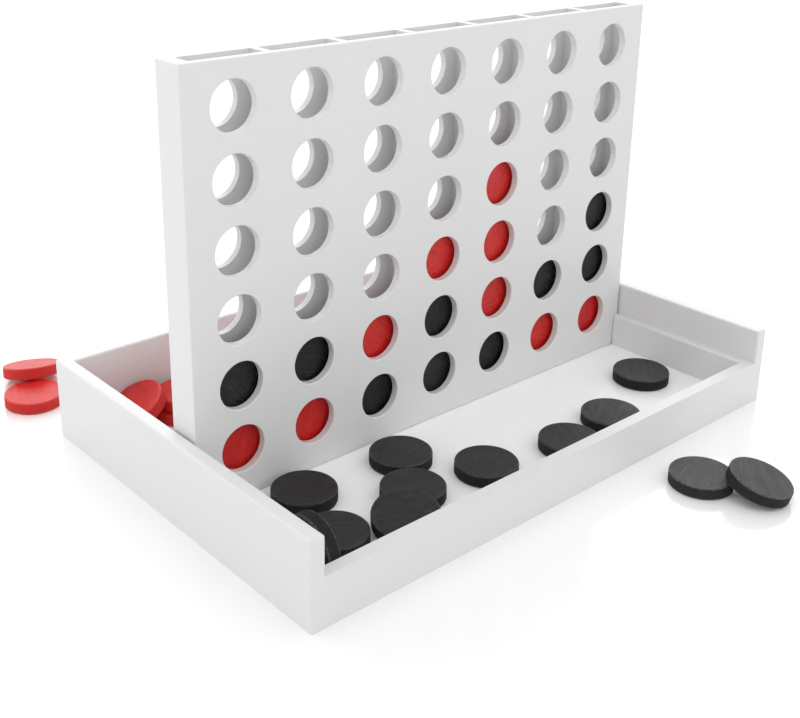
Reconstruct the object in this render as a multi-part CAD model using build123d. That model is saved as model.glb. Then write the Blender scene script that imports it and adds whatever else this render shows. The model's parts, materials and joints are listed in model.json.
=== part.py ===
from build123d import *
import math
import os

# Four in a row set: an open storage tray, an upright disc grid that stands across it, and 42 wooden discs.
# Millimetres. The origin is the middle of the tray's underside. +X runs along the grid to the right,
# +Y to the back, +Z up. The front is the side with the tray's low wall.

# ---- driving dimensions -------------------------------------------------------------------------
DISC_RADIUS = 12.3
DISC_THICKNESS = 5.0
DISC_EDGE = 0.6

TRAY_WIDTH = 248.4
TRAY_DEPTH = 165.4
TRAY_HEIGHT = 33.4
WALL = 5.7              # end walls and back wall
FRONT_WALL = 4.9        # low front wall
LEDGE_WIDTH = 3.9       # liner strips glued inside the end walls
LEDGE_TOP = 18.7        # top of the liners and of the low front wall
FLOOR = 3.6             # tray floor thickness
TRAY_EDGE = 0.9         # rounding of the tray's visible edges

COLUMNS = 7
ROWS = 6
COLUMN_PITCH = 32.46
ROW_PITCH = 25.0
HOLE_RADIUS = 9.1
HOLE_EDGE = 0.45
PANEL = 3.0             # front and back panel of the grid
SLOT_DEPTH = 8.3        # gap between the panels
DIVIDER = 3.0
GRID_WIDTH = 235.0
GRID_TOP = 164.3
GRID_EDGE = 0.5
GRID_FRONT = -9.25      # y of the grid's front face
LOWEST_ROW = 23.4       # height of the lowest hole centres

SLIDE_FIT = 0.3         # gap between the grid and the liners that hold it upright
REST_GAP = 0.1          # gap under a piece that lies flat on another
LEAN_GAP = 0.3          # gap where a tilted disc leans on its neighbour

# ---- derived dimensions -------------------------------------------------------------------------
HALF_WIDTH = TRAY_WIDTH / 2
HALF_DEPTH = TRAY_DEPTH / 2
GRID_DEPTH = 2 * PANEL + SLOT_DEPTH
GRID_BACK = GRID_FRONT + GRID_DEPTH
GRID_BOTTOM = FLOOR + REST_GAP
GRID_MIDDLE = (GRID_FRONT + GRID_BACK) / 2
CHANNEL = COLUMN_PITCH - DIVIDER
RAIL_TOP = LOWEST_ROW - DISC_RADIUS - REST_GAP
CUT = 1.0               # how far a cutting block runs past the face it opens
FLOOR_LEVEL = FLOOR + REST_GAP
TABLE_LEVEL = REST_GAP
SECOND_LAYER = FLOOR_LEVEL + DISC_THICKNESS + REST_GAP

# ---- discs in the grid: one string per column, bottom disc first, b for black and r for red ------
GRID_DISCS = ["rb", "rb", "br", "bbr", "brrr", "rb", "rbb"]

# ---- loose discs that lie flat: colour, x, y, height of the underside ----------------------------
FLAT_DISCS = [
    ("black", -82.0, -24.4, FLOOR_LEVEL),
    ("black", -90.8, -52.7, FLOOR_LEVEL),
    ("black", -37.4, -27.2, FLOOR_LEVEL),
    ("black", -50.6, -48.5, FLOOR_LEVEL),
    ("black", -17.6, -53.8, FLOOR_LEVEL),
    ("black", 21.0, -62.0, FLOOR_LEVEL),
    ("black", 51.0, -58.8, FLOOR_LEVEL),
    ("black", 93.5, -42.2, FLOOR_LEVEL),
    ("black", 43.8, -108.0, TABLE_LEVEL),
    ("red", -119.8, 116.2, TABLE_LEVEL),
    ("red", -80.0, 60.5, FLOOR_LEVEL),
    ("red", -78.3, 61.2, SECOND_LAYER),
    ("red", -52.0, 47.0, FLOOR_LEVEL),
    ("red", -30.0, 22.0, FLOOR_LEVEL),
    ("red", 8.0, 58.0, FLOOR_LEVEL),
    ("red", 38.0, 32.0, FLOOR_LEVEL),
    ("red", 43.0, 29.0, SECOND_LAYER),
    ("red", 84.0, 52.0, FLOOR_LEVEL),
]

# ---- loose disc that stands on its rim, facing the end walls: colour, x, y, ground level ---------
ON_EDGE_DISCS = [
    ("black", -110.3, -65.3, FLOOR_LEVEL),
]

# ---- loose discs that lean on a flat one: colour, x and y of the disc below, height of its top
# above the ground, ground level, direction and tilt in degrees -------------------------------------
ONE_HIGH = DISC_THICKNESS + REST_GAP
TWO_HIGH = 2 * ONE_HIGH
LEANING_DISCS = [
    ("black", -50.6, -48.5, ONE_HIGH, FLOOR_LEVEL, -139.0, 14.0),
    ("black", 43.8, -108.0, ONE_HIGH, TABLE_LEVEL, -63.9, 15.2),
    ("red", -119.8, 116.2, ONE_HIGH, TABLE_LEVEL, 66.8, 14.5),
    ("red", -78.3, 61.2, TWO_HIGH, FLOOR_LEVEL, 172.0, 30.0),
    ("red", -30.0, 22.0, ONE_HIGH, FLOOR_LEVEL, 60.0, 16.0),
]


def block(x0, x1, y0, y1, z0, z1):
    """A box between two corners."""
    return Pos((x0 + x1) / 2, (y0 + y1) / 2, (z0 + z1) / 2) * Box(x1 - x0, y1 - y0, z1 - z0)


def prism(points, z0, z1):
    """An upright prism on a plan outline."""
    return extrude(Plane.XY.offset(z0) * make_face(Polyline(*points, close=True)), z1 - z0)


def one_solid(shape):
    """The single solid that a cut or an intersection left."""
    solids = shape.solids()
    assert len(solids) == 1, len(solids)
    return solids[0]


def column_x(column):
    """Middle of a column, counted from 0 at the left."""
    return (column - (COLUMNS - 1) / 2) * COLUMN_PITCH


def row_z(row):
    """Height of a row's hole centres, counted from 0 at the bottom."""
    return LOWEST_ROW + row * ROW_PITCH


# ---- tray ---------------------------------------------------------------------------------------
def tray_rim():
    """All four walls as one ring with its visible edges rounded, before it is cut into four boards."""
    inner_x = HALF_WIDTH - WALL
    inner_front = -HALF_DEPTH + FRONT_WALL
    inner_back = HALF_DEPTH - WALL
    ring = block(-HALF_WIDTH, HALF_WIDTH, -HALF_DEPTH, HALF_DEPTH, 0, TRAY_HEIGHT)
    ring -= block(-inner_x, inner_x, inner_front, inner_back, -CUT, TRAY_HEIGHT + CUT)
    ring -= block(-inner_x, inner_x, -HALF_DEPTH - CUT, inner_front + CUT, LEDGE_TOP, TRAY_HEIGHT + CUT)
    top = ring.edges().filter_by_position(Axis.Z, TRAY_HEIGHT, TRAY_HEIGHT)
    step = ring.edges().filter_by_position(Axis.Z, LEDGE_TOP, LEDGE_TOP).filter_by(Axis.X)
    outer = ring.edges().filter_by(Axis.Z).filter_by(
        lambda e: abs(e.center().X) > HALF_WIDTH - CUT / 2
    )
    notch = ring.edges().filter_by(Axis.Z).filter_by(
        lambda e: e.center().Z > LEDGE_TOP and abs(e.center().X) < HALF_WIDTH - CUT
        and e.center().Y < 0
    )
    return fillet(top + step + outer + notch, TRAY_EDGE)


def tray_walls():
    """The ring cut into two end walls, a back wall mitred between them and a low front wall."""
    ring = tray_rim()
    inner_x = HALF_WIDTH - WALL
    inner_back = HALF_DEPTH - WALL
    far_x = HALF_WIDTH + CUT
    far_y = HALF_DEPTH + CUT
    right_plan = [
        (inner_x, -far_y), (far_x, -far_y), (far_x, far_y), (inner_x, inner_back),
    ]
    left_plan = [(-x, y) for x, y in reversed(right_plan)]
    back_plan = [(-inner_x, inner_back), (inner_x, inner_back), (far_x, far_y), (-far_x, far_y)]
    front_plan = [(-inner_x, -far_y), (inner_x, -far_y), (inner_x, 0), (-inner_x, 0)]
    plans = {
        "right_wall": right_plan,
        "left_wall": left_plan,
        "back_wall": back_plan,
        "front_wall": front_plan,
    }
    top = TRAY_HEIGHT + CUT
    return {name: one_solid(ring & prism(plan, -CUT, top)) for name, plan in plans.items()}


def tray_floor():
    """Thin panel inside the walls, flush with their undersides."""
    inner_x = HALF_WIDTH - WALL
    return one_solid(block(
        -inner_x, inner_x, -HALF_DEPTH + FRONT_WALL, HALF_DEPTH - WALL, 0, FLOOR
    ))


def liner(side, y0, y1):
    """One ledge strip against an end wall, its upper inner edge rounded. side is -1 left, 1 right."""
    outer = side * (HALF_WIDTH - WALL)
    inner = outer - side * LEDGE_WIDTH
    strip = block(min(outer, inner), max(outer, inner), y0, y1, FLOOR, LEDGE_TOP)
    edge = strip.edges().filter_by(Axis.Y).filter_by(
        lambda e: e.center().Z > LEDGE_TOP - CUT and abs(e.center().X - inner) < CUT
    )
    return one_solid(fillet(edge, TRAY_EDGE))


def liners(side):
    """The two strips of one side, with the gap between them that holds the grid upright."""
    front = liner(side, -HALF_DEPTH + FRONT_WALL, GRID_FRONT - SLIDE_FIT)
    back = liner(side, GRID_BACK + SLIDE_FIT, HALF_DEPTH - WALL)
    return Compound([front, back])


# ---- grid ---------------------------------------------------------------------------------------
def grid_body():
    """The whole grid with its holes, channels and rounded edges, before it is cut into boards."""
    half = GRID_WIDTH / 2
    body = block(-half, half, GRID_FRONT, GRID_BACK, GRID_BOTTOM, GRID_TOP)
    body = fillet(body.edges(), GRID_EDGE)
    centres = [(column_x(c), row_z(r)) for c in range(COLUMNS) for r in range(ROWS)]
    bores = [
        Pos(x, GRID_MIDDLE, z) * Rot(90, 0, 0) * Cylinder(HOLE_RADIUS, GRID_DEPTH + 2 * CUT)
        for x, z in centres
    ]
    body -= bores
    rims = body.edges().filter_by(GeomType.CIRCLE).filter_by(
        lambda e: abs(e.radius - HOLE_RADIUS) < HOLE_EDGE / 2
    )
    body = fillet(rims, HOLE_EDGE)
    channels = [
        block(
            column_x(c) - CHANNEL / 2, column_x(c) + CHANNEL / 2,
            GRID_FRONT + PANEL, GRID_BACK - PANEL, RAIL_TOP, GRID_TOP + CUT,
        )
        for c in range(COLUMNS)
    ]
    return body - channels


def grid_boards():
    """The grid cut along its glue lines: two panels, two side rails, a bottom rail and six dividers."""
    body = grid_body()
    half = GRID_WIDTH / 2
    inner_front = GRID_FRONT + PANEL
    inner_back = GRID_BACK - PANEL
    rail_x = column_x(COLUMNS - 1) + CHANNEL / 2
    top = GRID_TOP + CUT
    cutters = {
        "front_panel": block(-half - CUT, half + CUT, GRID_FRONT - CUT, inner_front, 0, top),
        "back_panel": block(-half - CUT, half + CUT, inner_back, GRID_BACK + CUT, 0, top),
        "left_rail": block(-half - CUT, -rail_x, inner_front, inner_back, 0, top),
        "right_rail": block(rail_x, half + CUT, inner_front, inner_back, 0, top),
        "bottom_rail": block(-rail_x, rail_x, inner_front, inner_back, 0, RAIL_TOP),
    }
    for c in range(COLUMNS - 1):
        x = column_x(c) + COLUMN_PITCH / 2
        cutters[f"divider_{c + 1}"] = block(
            x - DIVIDER / 2, x + DIVIDER / 2, inner_front, inner_back, RAIL_TOP, top
        )
    return {name: one_solid(body & cutter) for name, cutter in cutters.items()}


# ---- discs --------------------------------------------------------------------------------------
def disc():
    """A wooden disc with soft rims, its underside centred on the origin."""
    blank = Pos(0, 0, DISC_THICKNESS / 2) * Cylinder(DISC_RADIUS, DISC_THICKNESS)
    return one_solid(fillet(blank.edges().filter_by(GeomType.CIRCLE), DISC_EDGE))


def standing_disc(column, row):
    """A disc upright in the grid's channel, facing the front."""
    y = GRID_MIDDLE + DISC_THICKNESS / 2
    return Pos(column_x(column), y, row_z(row)) * Rot(90, 0, 0) * disc()


def on_edge_disc(x, y, ground):
    """A disc that stands on its rim with its faces towards the end walls, centred on x."""
    return Pos(x - DISC_THICKNESS / 2, y, ground + DISC_RADIUS) * Rot(0, 90, 0) * disc()


def leaning_disc(x, y, height, ground, direction, tilt):
    """A disc with one side on the ground that leans on the rim of a flat disc.

    height is the flat disc's top above the ground, and direction is where the low side points.
    """
    angle = math.radians(tilt)
    heading = math.radians(direction)
    reach = DISC_RADIUS + height / math.tan(angle) - DISC_RADIUS * math.cos(angle)
    reach += LEAN_GAP / math.sin(angle)
    centre_x = x + reach * math.cos(heading)
    centre_y = y + reach * math.sin(heading)
    centre_z = ground + DISC_RADIUS * math.sin(angle)
    return Pos(centre_x, centre_y, centre_z) * Rot(0, 0, direction) * Rot(0, tilt, 0) * disc()


def all_discs():
    """Every disc by name, numbered by colour: in the grid, flat, on edge, leaning."""
    placed = []
    for column, stack in enumerate(GRID_DISCS):
        for row, letter in enumerate(stack):
            colour = "black" if letter == "b" else "red"
            placed.append((colour, standing_disc(column, row)))
    for colour, x, y, z in FLAT_DISCS:
        placed.append((colour, Pos(x, y, z) * disc()))
    for colour, *place in ON_EDGE_DISCS:
        placed.append((colour, on_edge_disc(*place)))
    for colour, *place in LEANING_DISCS:
        placed.append((colour, leaning_disc(*place)))
    named = {}
    count = {"black": 0, "red": 0}
    for colour, shape in placed:
        count[colour] += 1
        named[f"{colour}_disc_{count[colour]:02d}"] = one_solid(shape)
    return named


def main():
    nodes = {"tray_floor": tray_floor()}
    nodes |= tray_walls()
    nodes["left_liners"] = liners(-1)
    nodes["right_liners"] = liners(1)
    nodes |= grid_boards()
    nodes |= all_discs()
    os.makedirs("parts", exist_ok=True)
    for name, shape in nodes.items():
        export_step(shape, f"parts/{name}.step")
    print(len(nodes), "nodes")


main()
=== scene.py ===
import json
import math
import random

import bmesh
import bpy
import numpy as np
from mathutils import Matrix, Vector, noise


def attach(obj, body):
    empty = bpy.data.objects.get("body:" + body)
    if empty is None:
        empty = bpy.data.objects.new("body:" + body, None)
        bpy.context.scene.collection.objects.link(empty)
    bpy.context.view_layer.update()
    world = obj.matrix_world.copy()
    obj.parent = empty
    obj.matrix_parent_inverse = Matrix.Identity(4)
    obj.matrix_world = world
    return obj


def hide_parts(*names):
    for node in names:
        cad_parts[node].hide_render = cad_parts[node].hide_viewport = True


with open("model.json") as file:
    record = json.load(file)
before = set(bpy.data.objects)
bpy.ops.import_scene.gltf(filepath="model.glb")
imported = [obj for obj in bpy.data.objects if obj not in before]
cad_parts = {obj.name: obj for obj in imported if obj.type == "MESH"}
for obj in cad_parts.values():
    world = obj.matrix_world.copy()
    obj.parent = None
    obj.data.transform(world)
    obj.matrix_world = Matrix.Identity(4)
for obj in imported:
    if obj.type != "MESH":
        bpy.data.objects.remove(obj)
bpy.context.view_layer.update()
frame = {"nodes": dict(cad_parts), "record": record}

NODES = frame["nodes"]
BODY_OF = {
    node: body
    for body, members in frame["record"]["behaviour"]["bodies"].items()
    for node in members
}

# Lengths are in metres, and noise scales in cycles per metre. A range names the part of a noise's values,
# which gather about 0.5, that a ramp spreads from one end of an effect to the other.
MIDDLE = (0.3, 0.7)


# ---- shader helpers -------------------------------------------------------------------------------
class Tree:
    """A small wrapper that adds nodes to a material or world and joins them."""

    def __init__(self, owner):
        owner.use_nodes = True
        self.tree = owner.node_tree
        self.tree.nodes.clear()

    def add(self, kind, inputs=None, **props):
        node = self.tree.nodes.new(kind)
        for key, value in props.items():
            setattr(node, key, value)
        for key, value in (inputs or {}).items():
            self.feed(node.inputs[key], value)
        return node

    def feed(self, socket, value):
        """Link an output to the socket, or set the socket to a constant."""
        if isinstance(value, bpy.types.NodeSocket):
            self.tree.links.new(value, socket)
        else:
            socket.default_value = value

    def attribute(self, name, output="Fac"):
        return self.add("ShaderNodeAttribute", attribute_name=name).outputs[output]

    def math(self, operation, a, b):
        return self.add("ShaderNodeMath", {0: a, 1: b}, operation=operation).outputs[0]

    def times(self, a, b):
        return self.math("MULTIPLY", a, b)

    def plus(self, a, b):
        return self.math("ADD", a, b)

    def average(self, a, b):
        return self.plus(self.times(a, 0.5), self.times(b, 0.5))

    def stretched(self, vector, scale):
        return self.add("ShaderNodeMapping", {"Vector": vector, "Scale": scale}).outputs[0]

    def noise(self, vector, scale, detail, rough, w=None):
        inputs = {"Vector": vector, "Scale": scale, "Detail": detail, "Roughness": rough}
        if w is not None:
            inputs["W"] = w
        dimensions = "3D" if w is None else "4D"
        return self.add("ShaderNodeTexNoise", inputs, noise_dimensions=dimensions).outputs["Fac"]

    def ramp(self, value, low, high, to_low=0.0, to_high=1.0):
        return self.add(
            "ShaderNodeMapRange",
            {"Value": value, "From Min": low, "From Max": high, "To Min": to_low, "To Max": to_high},
        ).outputs[0]

    def mix(self, factor, a, b):
        """Colour a where the factor is 0 and colour b where it is 1."""
        node = self.add("ShaderNodeMix", data_type="RGBA")
        for socket, value in ((node.inputs[0], factor), (node.inputs[6], a), (node.inputs[7], b)):
            self.feed(socket, value)
        return node.outputs[2]

    def bump(self, height, distance, strength, normal=None):
        inputs = {"Height": height, "Distance": distance, "Strength": strength}
        if normal is not None:
            inputs["Normal"] = normal
        return self.add("ShaderNodeBump", inputs).outputs[0]

    def finish(self, kind, shader):
        self.add(kind, {"Surface": shader.outputs[0]})


def colour(r, g, b):
    return (r, g, b, 1.0)


def grey(value):
    return colour(value, value, value)


# ---- white paint ----------------------------------------------------------------------------------
# each noise: scale, detail, roughness
PAINT_GRAIN = (900.0, 4.0, 0.6)
PAINT_CLOUD = (14.0, 3.0, 0.55)
PAINT_PEEL = (1500.0, 2.0, 0.5)
PAINT_SPECK = (420.0, 1.0, 0.4)
PAINT_GRAIN_RANGE = (0.35, 0.75)
PAINT_SPECK_RANGE = (0.74, 0.80)     # only the highest peaks become specks
PAINT_STRETCH = 0.045                # the grain's scale along the board, against 1 across it
PAINT_SHADE = (0.95, 0.95, 0.94)     # the shaded white, as shares of the darker grey
PAINT_GRAIN_TINT = 0.25              # how far the grain takes the colour to the shaded white
PAINT_SPECK_TINT = 0.16
PAINT_SPECK_COLOUR = colour(0.62, 0.62, 0.61)
PAINT_ROUGHNESS = (0.36, 0.47)
PAINT_IOR = 1.48
PAINT_COAT, PAINT_COAT_ROUGHNESS = 0.12, 0.3
PAINT_GRAIN_BUMP = (0.00003, 0.55)   # distance, strength
PAINT_PEEL_BUMP = (0.00002, 0.5)


def white_paint(name, along, low, high):
    """Satin white paint sprayed over board, between two greys. along is the long axis: 0 X, 1 Y, 2 Z."""
    material = bpy.data.materials.new(name)
    t = Tree(material)
    place = t.add("ShaderNodeTexCoord").outputs["Object"]
    stretch = [1.0, 1.0, 1.0]
    stretch[along] = PAINT_STRETCH
    grain = t.noise(t.stretched(place, stretch), *PAINT_GRAIN)
    cloud = t.noise(place, *PAINT_CLOUD)
    peel = t.noise(place, *PAINT_PEEL)
    speck = t.ramp(t.noise(place, *PAINT_SPECK), *PAINT_SPECK_RANGE)

    shaded = colour(*(low * share for share in PAINT_SHADE))
    base = t.mix(t.ramp(cloud, *MIDDLE), grey(low), grey(high))
    base = t.mix(t.ramp(grain, *PAINT_GRAIN_RANGE, 0.0, PAINT_GRAIN_TINT), base, shaded)
    base = t.mix(t.times(speck, PAINT_SPECK_TINT), base, PAINT_SPECK_COLOUR)
    rough = t.ramp(t.average(grain, cloud), *MIDDLE, *PAINT_ROUGHNESS)
    normal = t.bump(grain, *PAINT_GRAIN_BUMP)
    normal = t.bump(peel, *PAINT_PEEL_BUMP, normal)
    shader = t.add("ShaderNodeBsdfPrincipled", {
        "Base Color": base, "Roughness": rough, "IOR": PAINT_IOR, "Normal": normal,
        "Coat Weight": PAINT_COAT, "Coat Roughness": PAINT_COAT_ROUGHNESS,
    })
    t.finish("ShaderNodeOutputMaterial", shader)
    return material


# ---- stained wood ---------------------------------------------------------------------------------
WOOD_WANDER = (60.0, 2.0, 0.5)       # bends the grain lines sideways
WOOD_FINE = (2600.0, 3.0, 0.65)      # thin lines
WOOD_BAND = (520.0, 2.0, 0.5)        # wide lines
WOOD_PORES = (3300.0, 1.0, 0.4)
WOOD_BLOTCH = (120.0, 3.0, 0.55)
WOOD_EDGE = (900.0, 2.0, 0.5)        # breaks up the pale rim, which is partly wear and partly painted highlight
WOOD_SKIN = (1400.0, 2.0, 0.5)
STREAK_SHARES = (0.6, 0.4)           # of the thin and the wide lines
STREAK_RANGE = (0.36, 0.66)
PORE_RANGE = (0.64, 0.72)
BLOTCH_RANGE = (0.35, 0.75)
THREAD_RANGE = (0.54, 0.72)          # the thin lines that wear pale
EDGE_RANGE = (0.35, 0.65)
ROUGHNESS_RANGE = (0.2, 0.8)
WOOD_BEND = 0.0016                   # how far the lines wander sideways
LINE_STRETCH = (0.06, 1.0, 1.0)      # the grain runs along the disc's own X
PORE_STRETCH = (0.14, 1.0, 1.0)
PORE_TINT = 0.55
BLOTCH_TINT = 0.35
TONE_TINT = 0.6                      # how far the whole face of a worn disc goes to the worn colour
LEAST_WEAR = 0.2                     # the wear of a disc whose tone is 0
FULL_TONE = 0.5                      # the tone at which the wear is 1
SIDE_STAIN_AND_SHADE = 0.7                      # the side goes darker: partly end grain taking more stain, partly painted shade
SIDE_ROUGHNESS = 0.4                 # added round the side
PORE_DEPTH = 0.8                     # against 1 for the lines
WOOD_GRAIN_BUMP = (0.00016, 0.9)     # distance, strength
WOOD_SKIN_BUMP = (0.00002, 0.5)
# in each stain the rim share sets how pale the rim goes: partly wear, partly painted highlight
BLACK = {
    "dark": colour(0.0028, 0.0026, 0.0024), "light": colour(0.0115, 0.0105, 0.0095),
    "worn": colour(0.13, 0.128, 0.122), "roughness": (0.32, 0.60), "ior": 1.43,
    "rim_wear_and_highlight": 1.0, "streak_wear": 1.0,
}
RED = {
    "dark": colour(0.52, 0.008, 0.008), "light": colour(0.78, 0.020, 0.016),
    "worn": colour(0.85, 0.09, 0.06), "roughness": (0.30, 0.42), "ior": 1.52,
    "rim_wear_and_highlight": 0.6, "streak_wear": 0.3,
}


def stained_wood(name, dark, light, worn, roughness, ior, rim_wear_and_highlight, streak_wear):
    """Stained beech for the discs: grain lines, pores, a side darkened partly by stain and partly by
    painted shade, paler worn threads, and a pale rim that is partly wear and partly painted highlight.
    """
    material = bpy.data.materials.new(name)
    t = Tree(material)
    place = t.attribute("place", "Vector")
    seed = t.attribute("seed")
    tone = t.attribute("tone")
    rim = t.attribute("rim")
    side = t.attribute("side")

    sideways = t.times(t.noise(place, *WOOD_WANDER, seed), WOOD_BEND)
    shift = t.add("ShaderNodeCombineXYZ", {"Y": sideways}).outputs[0]
    bent = t.add("ShaderNodeVectorMath", {0: place, 1: shift}, operation="ADD").outputs[0]
    along_lines = t.stretched(bent, LINE_STRETCH)
    fine = t.noise(along_lines, *WOOD_FINE, seed)
    band = t.noise(along_lines, *WOOD_BAND, seed)
    pore = t.ramp(t.noise(t.stretched(bent, PORE_STRETCH), *WOOD_PORES, seed), *PORE_RANGE)
    blotch = t.noise(place, *WOOD_BLOTCH, seed)
    thin, wide = STREAK_SHARES
    streak = t.ramp(t.plus(t.times(fine, thin), t.times(band, wide)), *STREAK_RANGE)

    base = t.mix(streak, dark, light)
    base = t.mix(t.times(pore, PORE_TINT), base, dark)
    base = t.mix(t.ramp(blotch, *BLOTCH_RANGE, 0.0, BLOTCH_TINT), base, dark)
    base = t.mix(t.times(tone, TONE_TINT), base, worn)
    wear = t.ramp(tone, 0.0, FULL_TONE, LEAST_WEAR, 1.0)
    thread = t.times(t.ramp(fine, *THREAD_RANGE, 0.0, streak_wear), wear)
    base = t.mix(thread, base, worn)
    # pale rim: partly worn stain, partly a painted highlight along the rounding
    broken = t.ramp(t.noise(place, *WOOD_EDGE, seed), *EDGE_RANGE)
    worn_and_lit_rim = t.times(t.times(rim, broken), t.times(wear, rim_wear_and_highlight))
    base = t.mix(worn_and_lit_rim, base, worn)
    # painted shade round the side, partly the end grain's darker stain
    base = t.mix(t.times(side, SIDE_STAIN_AND_SHADE), base, dark)

    rough = t.ramp(t.average(streak, blotch), *ROUGHNESS_RANGE, *roughness)
    rough = t.plus(rough, t.times(side, SIDE_ROUGHNESS))
    height = t.math("SUBTRACT", streak, t.times(pore, PORE_DEPTH))
    normal = t.bump(height, *WOOD_GRAIN_BUMP)
    normal = t.bump(t.noise(place, *WOOD_SKIN, seed), *WOOD_SKIN_BUMP, normal)
    shader = t.add("ShaderNodeBsdfPrincipled", {
        "Base Color": base, "Roughness": rough, "IOR": ior, "Normal": normal,
    })
    t.finish("ShaderNodeOutputMaterial", shader)
    return material


# ---- discs ----------------------------------------------------------------------------------------
DISC_RADIUS = 0.0123
DISC_THICKNESS = 0.005
RIM_RADIUS = 0.0006
RIM_STEPS = 6
RIM_FADE = 0.3       # the rim mark of the two rings that border the rounding
SEGMENTS = 96
FACE_RINGS = (0.0, 0.2, 0.4, 0.6, 0.78, 0.92)   # shares of the flat face's radius
WAVER = 0.00003      # how far the hand-finished surface strays inward
WAVER_SCALE = 260.0
LEVEL_AXIS = 0.01    # an axis with less Z than this belongs to a disc that stands upright

MOST_SEED = 50.0
MOST_TONE = 0.12     # of a disc that isn't named in WORN
MOST_TURN = 90.0
# turn of the grain about the disc's axis in degrees, for discs in plain sight
GRAIN_TURN = {
    "black_disc_18": 8.0, "black_disc_21": 20.0, "black_disc_17": 40.0, "black_disc_16": 25.0,
    "black_disc_12": 12.0, "black_disc_10": 20.0, "black_disc_14": 15.0, "black_disc_20": 30.0,
}
# how worn the stain is, from 0 to 1, for discs in plain sight
WORN = {
    "black_disc_18": 0.5, "black_disc_21": 0.35, "black_disc_16": 0.2, "black_disc_17": 0.12,
    "black_disc_19": 0.2,
}


def disc_profile():
    """(radius, height, rim mark, side mark) of each ring from the middle of the top down to the side."""
    flat = DISC_RADIUS - RIM_RADIUS
    top = DISC_THICKNESS / 2
    shoulder = top - RIM_RADIUS
    rings = [(flat * share, top, 0.0, 0.0) for share in FACE_RINGS]
    rings.append((flat, top, RIM_FADE, 0.0))
    for step in range(1, RIM_STEPS):
        angle = math.pi / 2 * (1 - step / RIM_STEPS)
        rings.append((
            flat + RIM_RADIUS * math.cos(angle),
            shoulder + RIM_RADIUS * math.sin(angle),
            1.0,
            0.0,
        ))
    rings.append((DISC_RADIUS, shoulder, RIM_FADE, 1.0))
    rings.append((DISC_RADIUS, shoulder / 2, 0.0, 1.0))
    return rings


def disc_mesh(name, seed, tone):
    """A turned disc with soft rims, its axis on Z and its middle at the origin.

    Each point keeps its place on the disc, so the grain stays with the disc wherever it lies.
    """
    upper = disc_profile()
    waist = [(DISC_RADIUS, 0.0, 0.0, 1.0)]
    lower = [(radius, -height, rim, side) for radius, height, rim, side in reversed(upper)]
    bm = bmesh.new()
    rows = []
    marks = []
    for radius, height, rim, side in upper + waist + lower:
        row = []
        for i in range(SEGMENTS if radius else 1):
            angle = 2 * math.pi * i / SEGMENTS
            point = Vector((radius * math.cos(angle), radius * math.sin(angle), height))
            inward = noise.noise(point * WAVER_SCALE + Vector((seed, 0, 0))) * 0.5 + 0.5   # 0 to 1
            outward = Vector((point.x, point.y, 0)).normalized()
            push = outward if side or rim else Vector((0, 0, math.copysign(1, height)))
            row.append(bm.verts.new(point - push * WAVER * inward))
            marks.append((rim, side))
        rows.append(row)
    for a, b in zip(rows, rows[1:]):
        for i in range(SEGMENTS):
            j = (i + 1) % SEGMENTS
            if len(a) == 1:
                bm.faces.new((a[0], b[i], b[j]))
            elif len(b) == 1:
                bm.faces.new((a[i], b[0], a[j]))
            else:
                bm.faces.new((a[i], b[i], b[j], a[j]))
    bmesh.ops.recalc_face_normals(bm, faces=bm.faces)
    for face in bm.faces:
        face.smooth = True
    mesh = bpy.data.meshes.new(name)
    bm.to_mesh(mesh)
    bm.free()
    for label, values in (
        ("rim", [rim for rim, side in marks]),
        ("side", [side for rim, side in marks]),
        ("seed", [seed] * len(marks)),
        ("tone", [tone] * len(marks)),
    ):
        mesh.attributes.new(label, "FLOAT", "POINT").data.foreach_set("value", values)
    place = [c for vertex in mesh.vertices for c in vertex.co]
    mesh.attributes.new("place", "FLOAT_VECTOR", "POINT").data.foreach_set("vector", place)
    return mesh


def disc_place(node):
    """Centre and axis of a disc node, from the extents of its mesh along its three main directions."""
    points = np.array([v.co for v in node.data.vertices], float)
    middle = (points.min(0) + points.max(0)) / 2
    _, _, directions = np.linalg.svd(points - points.mean(0), full_matrices=False)
    spread = (points - middle) @ directions.T
    centre = middle + ((spread.min(0) + spread.max(0)) / 2) @ directions
    axis = Vector(directions[2])
    if axis.z < -LEVEL_AXIS or (abs(axis.z) <= LEVEL_AXIS and axis.y > 0):
        axis.negate()
    return Vector(centre), axis


def add_disc(name, material):
    chance = random.Random(name)
    seed = chance.uniform(0.0, MOST_SEED)
    tone = WORN.get(name, chance.uniform(0.0, MOST_TONE))
    turn = math.radians(GRAIN_TURN.get(name, chance.uniform(-MOST_TURN, MOST_TURN)))
    centre, axis = disc_place(NODES[name])
    mesh = disc_mesh(name + "_mesh", seed, tone)
    turned = axis.to_track_quat("Z", "Y").to_matrix().to_4x4() @ Matrix.Rotation(turn, 4, "Z")
    mesh.transform(Matrix.Translation(centre) @ turned)
    mesh.materials.append(material)
    piece = bpy.data.objects.new("wood_" + name, mesh)
    bpy.context.scene.collection.objects.link(piece)
    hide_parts(name)
    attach(piece, BODY_OF[name])


black = stained_wood("black_stain", **BLACK)
red = stained_wood("red_stain", **RED)
for node_name in sorted(NODES):
    if node_name.startswith("black_disc"):
        add_disc(node_name, black)
    elif node_name.startswith("red_disc"):
        add_disc(node_name, red)


# ---- painted boards: the CAD shapes with a better finish ------------------------------------------
BOARD_GREYS = (0.72, 0.74)
FLOOR_GREYS = (0.96, 0.98)
# painted light: the back wall gets a lighter copy of the board paint, brightening its inner face
BACK_WALL_LIT_GREYS = (0.76, 0.78)
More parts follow.
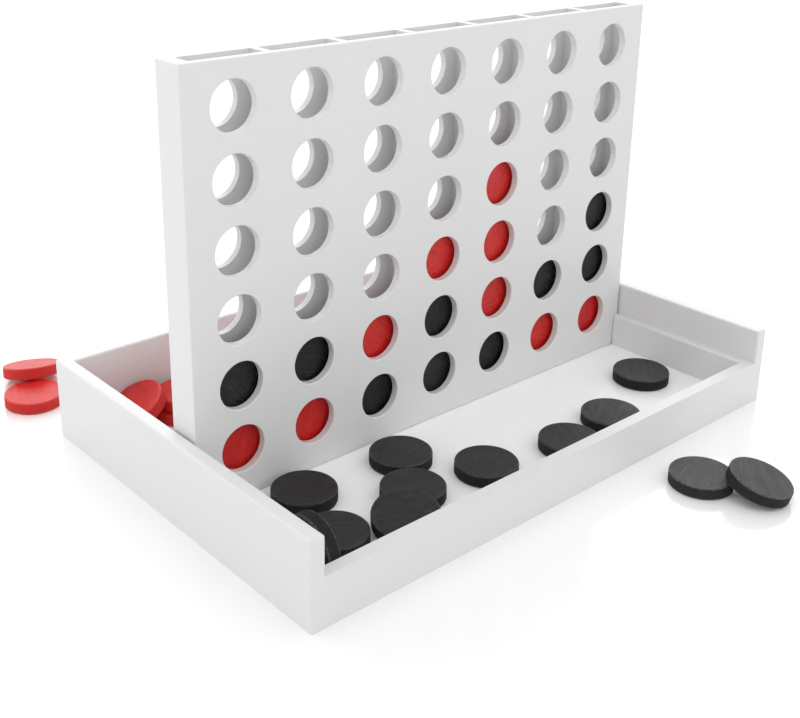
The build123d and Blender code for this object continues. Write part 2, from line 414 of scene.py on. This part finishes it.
# the axis along which each board is longest, if it isn't X: 1 Y, 2 Z
LONG_AXIS = {
    "left_wall": 1, "right_wall": 1, "left_liners": 1, "right_liners": 1,
    "left_rail": 2, "right_rail": 2,
}
paint = [white_paint("white_paint_" + letter, i, *BOARD_GREYS) for i, letter in enumerate("xyz")]
whiter = {
    "tray_floor": white_paint("white_paint_floor", 0, *FLOOR_GREYS),
    # painted light: the back wall's copy of the paint is lighter than the boards'
    "back_wall": white_paint("white_paint_back_lit", 0, *BACK_WALL_LIT_GREYS),
}
for node_name, node in NODES.items():
    if "_disc_" in node_name:
        continue
    long_axis = 2 if node_name.startswith("divider") else LONG_AXIS.get(node_name, 0)
    for slot in node.material_slots:
        slot.material = whiter.get(node_name, paint[long_axis])


# ---- stage, light and camera ----------------------------------------------------------------------
FLOOR_REACH = 6.0                # from the middle to each edge
FLOOR_CELLS = 8
TABLE_CLOUD = (3.0, 2.0, 0.5)    # scale, detail, roughness
TABLE_GREYS = (0.93, 0.95)
TABLE_ROUGHNESS = (0.10, 0.13)
TABLE_IOR = 1.45
WORLD_STRENGTH = 1.13
LIGHTS = (
    # name, place, aim, size, watts
    ("back_softbox", (0.914, 1.305, 1.035), (0.0, 0.0, 0.03), (2.2, 0.8), 9.5),
    ("left_softbox", (-0.55, 0.6, 0.25), (-0.08, 0.08, 0.02), (0.4, 0.3), 0.5),
)
CAMERA_PLACE = (-0.30482, -0.31721, 0.23093)
YAW, PITCH, ROLL = -0.72281, -0.33365, 0.01325   # radians
LENS, SENSOR = 52.13, 36.0                       # millimetres
SHIFT_X, SHIFT_Y = 0.0238, -0.1488
CLIP_START, CLIP_END = 0.01, 50.0


def table_top():
    """The pale glossy sheet that the set stands on."""
    material = bpy.data.materials.new("table_top")
    t = Tree(material)
    place = t.add("ShaderNodeTexCoord").outputs["Object"]
    cloud = t.noise(place, *TABLE_CLOUD)
    low, high = TABLE_GREYS
    shader = t.add("ShaderNodeBsdfPrincipled", {
        "Base Color": t.mix(cloud, grey(low), grey(high)),
        "Roughness": t.ramp(cloud, *MIDDLE, *TABLE_ROUGHNESS),
        "IOR": TABLE_IOR,
    })
    t.finish("ShaderNodeOutputMaterial", shader)
    return material


def add_floor():
    bm = bmesh.new()
    bmesh.ops.create_grid(bm, x_segments=FLOOR_CELLS, y_segments=FLOOR_CELLS, size=FLOOR_REACH)
    mesh = bpy.data.meshes.new("floor")
    bm.to_mesh(mesh)
    bm.free()
    floor = bpy.data.objects.new("floor", mesh)
    bpy.context.scene.collection.objects.link(floor)
    mesh.materials.append(table_top())


def add_light(name, place, aim, size, watts):
    data = bpy.data.lights.new(name, "AREA")
    data.shape = "RECTANGLE"
    data.size, data.size_y = size
    data.energy = watts
    lamp = bpy.data.objects.new(name, data)
    bpy.context.scene.collection.objects.link(lamp)
    lamp.location = place
    lamp.rotation_mode = "QUATERNION"
    lamp.rotation_quaternion = (Vector(aim) - Vector(place)).to_track_quat("-Z", "Y")


def add_world():
    world = bpy.data.worlds.new("studio")
    bpy.context.scene.world = world
    t = Tree(world)
    glow = t.add("ShaderNodeBackground", {"Color": grey(1.0), "Strength": WORLD_STRENGTH})
    t.finish("ShaderNodeOutputWorld", glow)


def add_camera():
    data = bpy.data.cameras.new("camera")
    data.lens = LENS
    data.sensor_width = SENSOR
    data.shift_x = SHIFT_X
    data.shift_y = SHIFT_Y
    data.clip_start = CLIP_START
    data.clip_end = CLIP_END
    camera = bpy.data.objects.new("camera", data)
    bpy.context.scene.collection.objects.link(camera)
    forward = Vector((-math.sin(YAW) * math.cos(PITCH), math.cos(YAW) * math.cos(PITCH), math.sin(PITCH)))
    level = Vector((math.cos(YAW), math.sin(YAW), 0.0))
    upward = level.cross(forward)
    right = math.cos(ROLL) * level + math.sin(ROLL) * upward
    up = -math.sin(ROLL) * level + math.cos(ROLL) * upward
    turn = Matrix((right, up, -forward)).transposed().to_4x4()
    camera.matrix_world = Matrix.Translation(CAMERA_PLACE) @ turn
    bpy.context.scene.camera = camera


add_floor()
add_world()
for light in LIGHTS:
    add_light(*light)
add_camera()
bpy.context.scene.view_settings.view_transform = "Standard"
